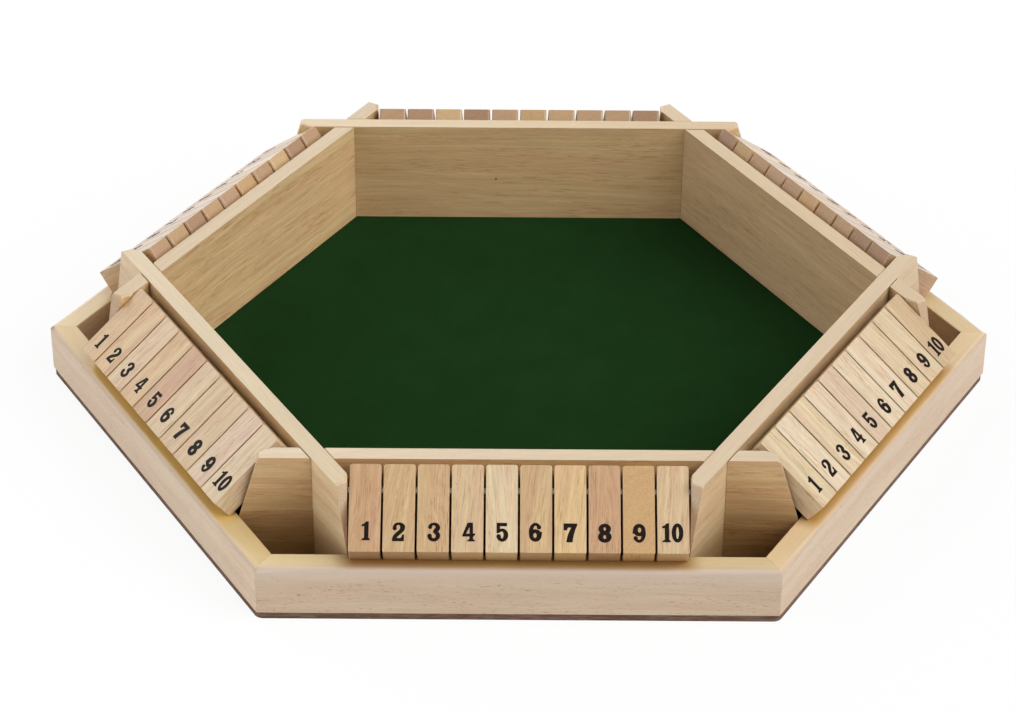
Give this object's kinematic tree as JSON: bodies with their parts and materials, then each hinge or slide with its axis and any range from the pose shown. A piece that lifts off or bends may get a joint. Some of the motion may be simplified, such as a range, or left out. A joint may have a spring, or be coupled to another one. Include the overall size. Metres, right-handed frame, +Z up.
{
  "type": "shut the box game",
  "caption": "Hexagonal wooden shut the box game with a felt-lined dice tray, ringed by rows of numbered tiles that flip over on steel rods.",
  "frame": {"origin": "centre of the hexagonal underside, on the table", "axes": "+Z up; two corners of the hexagon lie on the X axis; +Y points from the front row of tiles to the back row"},
  "size_m": [0.4, 0.3464, 0.0527],
  "materials": {
    "rail_wood": "pale rubberwood, fine sanded, satin lacquer",
    "wall_wood": "pale rubberwood board, fine sanded, satin lacquer",
    "tile_wood": "rubberwood, eased edges, satin lacquer, numbers printed in black",
    "base_wood": "dark brown thin board",
    "green_felt": "short-pile felt",
    "rod_steel": "bright drawn wire"
  },
  "bodies": {
    "frame": {"base_board": "base_wood", "felt_mat": "green_felt", "outer_rails": "rail_wood", "inner_walls": "wall_wood", "pivot_rods": "rod_steel"},
    "front_tile_1": {"front_tile_1": "tile_wood"},
    "front_tile_2": {"front_tile_2": "tile_wood"},
    "front_tile_3": {"front_tile_3": "tile_wood"},
    "front_tile_4": {"front_tile_4": "tile_wood"},
    "front_tile_5": {"front_tile_5": "tile_wood"},
    "front_tile_6": {"front_tile_6": "tile_wood"},
    "front_tile_7": {"front_tile_7": "tile_wood"},
    "front_tile_8": {"front_tile_8": "tile_wood"},
    "front_tile_9": {"front_tile_9": "tile_wood"},
    "front_tile_10": {"front_tile_10": "tile_wood"},
    "front_right_tile_1": {"front_right_tile_1": "tile_wood"},
    "front_right_tile_2": {"front_right_tile_2": "tile_wood"},
    "front_right_tile_3": {"front_right_tile_3": "tile_wood"},
    "front_right_tile_4": {"front_right_tile_4": "tile_wood"},
    "front_right_tile_5": {"front_right_tile_5": "tile_wood"},
    "front_right_tile_6": {"front_right_tile_6": "tile_wood"},
    "front_right_tile_7": {"front_right_tile_7": "tile_wood"},
    "front_right_tile_8": {"front_right_tile_8": "tile_wood"},
    "front_right_tile_9": {"front_right_tile_9": "tile_wood"},
    "front_right_tile_10": {"front_right_tile_10": "tile_wood"},
    "back_right_tile_1": {"back_right_tile_1": "tile_wood"},
    "back_right_tile_2": {"back_right_tile_2": "tile_wood"},
    "back_right_tile_3": {"back_right_tile_3": "tile_wood"},
    "back_right_tile_4": {"back_right_tile_4": "tile_wood"},
    "back_right_tile_5": {"back_right_tile_5": "tile_wood"},
    "back_right_tile_6": {"back_right_tile_6": "tile_wood"},
    "back_right_tile_7": {"back_right_tile_7": "tile_wood"},
    "back_right_tile_8": {"back_right_tile_8": "tile_wood"},
    "back_right_tile_9": {"back_right_tile_9": "tile_wood"},
    "back_right_tile_10": {"back_right_tile_10": "tile_wood"},
    "back_tiles_1_2": {"back_tiles_1_2": "tile_wood"},
    "back_tiles_3_4": {"back_tiles_3_4": "tile_wood"},
    "back_tiles_5_6": {"back_tiles_5_6": "tile_wood"},
    "back_tiles_7_8": {"back_tiles_7_8": "tile_wood"},
    "back_tiles_9_10": {"back_tiles_9_10": "tile_wood"},
    "back_left_tile_1": {"back_left_tile_1": "tile_wood"},
    "back_left_tile_2": {"back_left_tile_2": "tile_wood"},
    "back_left_tile_3": {"back_left_tile_3": "tile_wood"},
    "back_left_tile_4": {"back_left_tile_4": "tile_wood"},
    "back_left_tile_5": {"back_left_tile_5": "tile_wood"},
    "back_left_tile_6": {"back_left_tile_6": "tile_wood"},
    "back_left_tile_7": {"back_left_tile_7": "tile_wood"},
    "back_left_tile_8": {"back_left_tile_8": "tile_wood"},
    "back_left_tile_9": {"back_left_tile_9": "tile_wood"},
    "back_left_tile_10": {"back_left_tile_10": "tile_wood"},
    "front_left_tile_1": {"front_left_tile_1": "tile_wood"},
    "front_left_tile_2": {"front_left_tile_2": "tile_wood"},
    "front_left_tile_3": {"front_left_tile_3": "tile_wood"},
    "front_left_tile_4": {"front_left_tile_4": "tile_wood"},
    "front_left_tile_5": {"front_left_tile_5": "tile_wood"},
    "front_left_tile_6": {"front_left_tile_6": "tile_wood"},
    "front_left_tile_7": {"front_left_tile_7": "tile_wood"},
    "front_left_tile_8": {"front_left_tile_8": "tile_wood"},
    "front_left_tile_9": {"front_left_tile_9": "tile_wood"},
    "front_left_tile_10": {"front_left_tile_10": "tile_wood"}
  },
  "joints": [
    {"name": "front_tile_1_flip", "type": "hinge", "parent": "frame", "child": "front_tile_1", "pos_m": [-0.0585, -0.1492, 0.04317], "axis": [-1, 0, 0], "range_deg": [0, 159]},
    {"name": "front_tile_2_flip", "type": "hinge", "parent": "frame", "child": "front_tile_2", "pos_m": [-0.0455, -0.1492, 0.04317], "axis": [-1, 0, 0], "range_deg": [0, 159]},
    {"name": "front_tile_3_flip", "type": "hinge", "parent": "frame", "child": "front_tile_3", "pos_m": [-0.0325, -0.1492, 0.04317], "axis": [-1, 0, 0], "range_deg": [0, 159]},
    {"name": "front_tile_4_flip", "type": "hinge", "parent": "frame", "child": "front_tile_4", "pos_m": [-0.0195, -0.1492, 0.04317], "axis": [-1, 0, 0], "range_deg": [0, 159]},
    {"name": "front_tile_5_flip", "type": "hinge", "parent": "frame", "child": "front_tile_5", "pos_m": [-0.0065, -0.1492, 0.04317], "axis": [-1, 0, 0], "range_deg": [0, 159]},
    {"name": "front_tile_6_flip", "type": "hinge", "parent": "frame", "child": "front_tile_6", "pos_m": [0.0065, -0.1492, 0.04317], "axis": [-1, 0, 0], "range_deg": [0, 159]},
    {"name": "front_tile_7_flip", "type": "hinge", "parent": "frame", "child": "front_tile_7", "pos_m": [0.0195, -0.1492, 0.04317], "axis": [-1, 0, 0], "range_deg": [0, 159]},
    {"name": "front_tile_8_flip", "type": "hinge", "parent": "frame", "child": "front_tile_8", "pos_m": [0.0325, -0.1492, 0.04317], "axis": [-1, 0, 0], "range_deg": [0, 159]},
    {"name": "front_tile_9_flip", "type": "hinge", "parent": "frame", "child": "front_tile_9", "pos_m": [0.0455, -0.1492, 0.04317], "axis": [-1, 0, 0], "range_deg": [0, 159]},
    {"name": "front_tile_10_flip", "type": "hinge", "parent": "frame", "child": "front_tile_10", "pos_m": [0.0585, -0.1492, 0.04317], "axis": [-1, 0, 0], "range_deg": [0, 159]},
    {"name": "front_right_tile_1_flip", "type": "hinge", "parent": "frame", "child": "front_right_tile_1", "pos_m": [0.09996, -0.12526, 0.04317], "axis": [-0.5, -0.866, 0], "range_deg": [0, 159]},
    {"name": "front_right_tile_2_flip", "type": "hinge", "parent": "frame", "child": "front_right_tile_2", "pos_m": [0.10646, -0.114, 0.04317], "axis": [-0.5, -0.866, 0], "range_deg": [0, 159]},
    {"name": "front_right_tile_3_flip", "type": "hinge", "parent": "frame", "child": "front_right_tile_3", "pos_m": [0.11296, -0.10275, 0.04317], "axis": [-0.5, -0.866, 0], "range_deg": [0, 159]},
    {"name": "front_right_tile_4_flip", "type": "hinge", "parent": "frame", "child": "front_right_tile_4", "pos_m": [0.11946, -0.09149, 0.04317], "axis": [-0.5, -0.866, 0], "range_deg": [0, 159]},
    {"name": "front_right_tile_5_flip", "type": "hinge", "parent": "frame", "child": "front_right_tile_5", "pos_m": [0.12596, -0.08023, 0.04317], "axis": [-0.5, -0.866, 0], "range_deg": [0, 159]},
    {"name": "front_right_tile_6_flip", "type": "hinge", "parent": "frame", "child": "front_right_tile_6", "pos_m": [0.13246, -0.06897, 0.04317], "axis": [-0.5, -0.866, 0], "range_deg": [0, 159]},
    {"name": "front_right_tile_7_flip", "type": "hinge", "parent": "frame", "child": "front_right_tile_7", "pos_m": [0.13896, -0.05771, 0.04317], "axis": [-0.5, -0.866, 0], "range_deg": [0, 159]},
    {"name": "front_right_tile_8_flip", "type": "hinge", "parent": "frame", "child": "front_right_tile_8", "pos_m": [0.14546, -0.04645, 0.04317], "axis": [-0.5, -0.866, 0], "range_deg": [0, 159]},
    {"name": "front_right_tile_9_flip", "type": "hinge", "parent": "frame", "child": "front_right_tile_9", "pos_m": [0.15196, -0.0352, 0.04317], "axis": [-0.5, -0.866, 0], "range_deg": [0, 159]},
    {"name": "front_right_tile_10_flip", "type": "hinge", "parent": "frame", "child": "front_right_tile_10", "pos_m": [0.15846, -0.02394, 0.04317], "axis": [-0.5, -0.866, 0], "range_deg": [0, 159]},
    {"name": "back_right_tile_1_flip", "type": "hinge", "parent": "frame", "child": "back_right_tile_1", "pos_m": [0.15846, 0.02394, 0.04317], "axis": [0.5, -0.866, 0], "range_deg": [0, 159]},
    {"name": "back_right_tile_2_flip", "type": "hinge", "parent": "frame", "child": "back_right_tile_2", "pos_m": [0.15196, 0.0352, 0.04317], "axis": [0.5, -0.866, 0], "range_deg": [0, 159]},
    {"name": "back_right_tile_3_flip", "type": "hinge", "parent": "frame", "child": "back_right_tile_3", "pos_m": [0.14546, 0.04645, 0.04317], "axis": [0.5, -0.866, 0], "range_deg": [0, 159]},
    {"name": "back_right_tile_4_flip", "type": "hinge", "parent": "frame", "child": "back_right_tile_4", "pos_m": [0.13896, 0.05771, 0.04317], "axis": [0.5, -0.866, 0], "range_deg": [0, 159]},
    {"name": "back_right_tile_5_flip", "type": "hinge", "parent": "frame", "child": "back_right_tile_5", "pos_m": [0.13246, 0.06897, 0.04317], "axis": [0.5, -0.866, 0], "range_deg": [0, 159]},
    {"name": "back_right_tile_6_flip", "type": "hinge", "parent": "frame", "child": "back_right_tile_6", "pos_m": [0.12596, 0.08023, 0.04317], "axis": [0.5, -0.866, 0], "range_deg": [0, 159]},
    {"name": "back_right_tile_7_flip", "type": "hinge", "parent": "frame", "child": "back_right_tile_7", "pos_m": [0.11946, 0.09149, 0.04317], "axis": [0.5, -0.866, 0], "range_deg": [0, 159]},
    {"name": "back_right_tile_8_flip", "type": "hinge", "parent": "frame", "child": "back_right_tile_8", "pos_m": [0.11296, 0.10275, 0.04317], "axis": [0.5, -0.866, 0], "range_deg": [0, 159]},
    {"name": "back_right_tile_9_flip", "type": "hinge", "parent": "frame", "child": "back_right_tile_9", "pos_m": [0.10646, 0.114, 0.04317], "axis": [0.5, -0.866, 0], "range_deg": [0, 159]},
    {"name": "back_right_tile_10_flip", "type": "hinge", "parent": "frame", "child": "back_right_tile_10", "pos_m": [0.09996, 0.12526, 0.04317], "axis": [0.5, -0.866, 0], "range_deg": [0, 159]},
    {"name": "back_tiles_1_2_flip", "type": "hinge", "parent": "frame", "child": "back_tiles_1_2", "pos_m": [0.052, 0.1492, 0.04317], "axis": [1, 0, 0], "range_deg": [0, 159]},
    {"name": "back_tiles_3_4_flip", "type": "hinge", "parent": "frame", "child": "back_tiles_3_4", "pos_m": [0.026, 0.1492, 0.04317], "axis": [1, 0, 0], "range_deg": [0, 159]},
    {"name": "back_tiles_5_6_flip", "type": "hinge", "parent": "frame", "child": "back_tiles_5_6", "pos_m": [0, 0.1492, 0.04317], "axis": [1, 0, 0], "range_deg": [0, 159]},
    {"name": "back_tiles_7_8_flip", "type": "hinge", "parent": "frame", "child": "back_tiles_7_8", "pos_m": [-0.026, 0.1492, 0.04317], "axis": [1, 0, 0], "range_deg": [0, 159]},
    {"name": "back_tiles_9_10_flip", "type": "hinge", "parent": "frame", "child": "back_tiles_9_10", "pos_m": [-0.052, 0.1492, 0.04317], "axis": [1, 0, 0], "range_deg": [0, 159]},
    {"name": "back_left_tile_1_flip", "type": "hinge", "parent": "frame", "child": "back_left_tile_1", "pos_m": [-0.09996, 0.12526, 0.04317], "axis": [0.5, 0.866, 0], "range_deg": [0, 159]},
    {"name": "back_left_tile_2_flip", "type": "hinge", "parent": "frame", "child": "back_left_tile_2", "pos_m": [-0.10646, 0.114, 0.04317], "axis": [0.5, 0.866, 0], "range_deg": [0, 159]},
    {"name": "back_left_tile_3_flip", "type": "hinge", "parent": "frame", "child": "back_left_tile_3", "pos_m": [-0.11296, 0.10275, 0.04317], "axis": [0.5, 0.866, 0], "range_deg": [0, 159]},
    {"name": "back_left_tile_4_flip", "type": "hinge", "parent": "frame", "child": "back_left_tile_4", "pos_m": [-0.11946, 0.09149, 0.04317], "axis": [0.5, 0.866, 0], "range_deg": [0, 159]},
    {"name": "back_left_tile_5_flip", "type": "hinge", "parent": "frame", "child": "back_left_tile_5", "pos_m": [-0.12596, 0.08023, 0.04317], "axis": [0.5, 0.866, 0], "range_deg": [0, 159]},
    {"name": "back_left_tile_6_flip", "type": "hinge", "parent": "frame", "child": "back_left_tile_6", "pos_m": [-0.13246, 0.06897, 0.04317], "axis": [0.5, 0.866, 0], "range_deg": [0, 159]},
    {"name": "back_left_tile_7_flip", "type": "hinge", "parent": "frame", "child": "back_left_tile_7", "pos_m": [-0.13896, 0.05771, 0.04317], "axis": [0.5, 0.866, 0], "range_deg": [0, 159]},
    {"name": "back_left_tile_8_flip", "type": "hinge", "parent": "frame", "child": "back_left_tile_8", "pos_m": [-0.14546, 0.04645, 0.04317], "axis": [0.5, 0.866, 0], "range_deg": [0, 159]},
    {"name": "back_left_tile_9_flip", "type": "hinge", "parent": "frame", "child": "back_left_tile_9", "pos_m": [-0.15196, 0.0352, 0.04317], "axis": [0.5, 0.866, 0], "range_deg": [0, 159]},
    {"name": "back_left_tile_10_flip", "type": "hinge", "parent": "frame", "child": "back_left_tile_10", "pos_m": [-0.15846, 0.02394, 0.04317], "axis": [0.5, 0.866, 0], "range_deg": [0, 159]},
    {"name": "front_left_tile_1_flip", "type": "hinge", "parent": "frame", "child": "front_left_tile_1", "pos_m": [-0.15846, -0.02394, 0.04317], "axis": [-0.5, 0.866, 0], "range_deg": [0, 159]},
    {"name": "front_left_tile_2_flip", "type": "hinge", "parent": "frame", "child": "front_left_tile_2", "pos_m": [-0.15196, -0.0352, 0.04317], "axis": [-0.5, 0.866, 0], "range_deg": [0, 159]},
    {"name": "front_left_tile_3_flip", "type": "hinge", "parent": "frame", "child": "front_left_tile_3", "pos_m": [-0.14546, -0.04645, 0.04317], "axis": [-0.5, 0.866, 0], "range_deg": [0, 159]},
    {"name": "front_left_tile_4_flip", "type": "hinge", "parent": "frame", "child": "front_left_tile_4", "pos_m": [-0.13896, -0.05771, 0.04317], "axis": [-0.5, 0.866, 0], "range_deg": [0, 159]},
    {"name": "front_left_tile_5_flip", "type": "hinge", "parent": "frame", "child": "front_left_tile_5", "pos_m": [-0.13246, -0.06897, 0.04317], "axis": [-0.5, 0.866, 0], "range_deg": [0, 159]},
    {"name": "front_left_tile_6_flip", "type": "hinge", "parent": "frame", "child": "front_left_tile_6", "pos_m": [-0.12596, -0.08023, 0.04317], "axis": [-0.5, 0.866, 0], "range_deg": [0, 159]},
    {"name": "front_left_tile_7_flip", "type": "hinge", "parent": "frame", "child": "front_left_tile_7", "pos_m": [-0.11946, -0.09149, 0.04317], "axis": [-0.5, 0.866, 0], "range_deg": [0, 159]},
    {"name": "front_left_tile_8_flip", "type": "hinge", "parent": "frame", "child": "front_left_tile_8", "pos_m": [-0.11296, -0.10275, 0.04317], "axis": [-0.5, 0.866, 0], "range_deg": [0, 159]},
    {"name": "front_left_tile_9_flip", "type": "hinge", "parent": "frame", "child": "front_left_tile_9", "pos_m": [-0.10646, -0.114, 0.04317], "axis": [-0.5, 0.866, 0], "range_deg": [0, 159]},
    {"name": "front_left_tile_10_flip", "type": "hinge", "parent": "frame", "child": "front_left_tile_10", "pos_m": [-0.09996, -0.12526, 0.04317], "axis": [-0.5, 0.866, 0], "range_deg": [0, 159]}
  ]
}
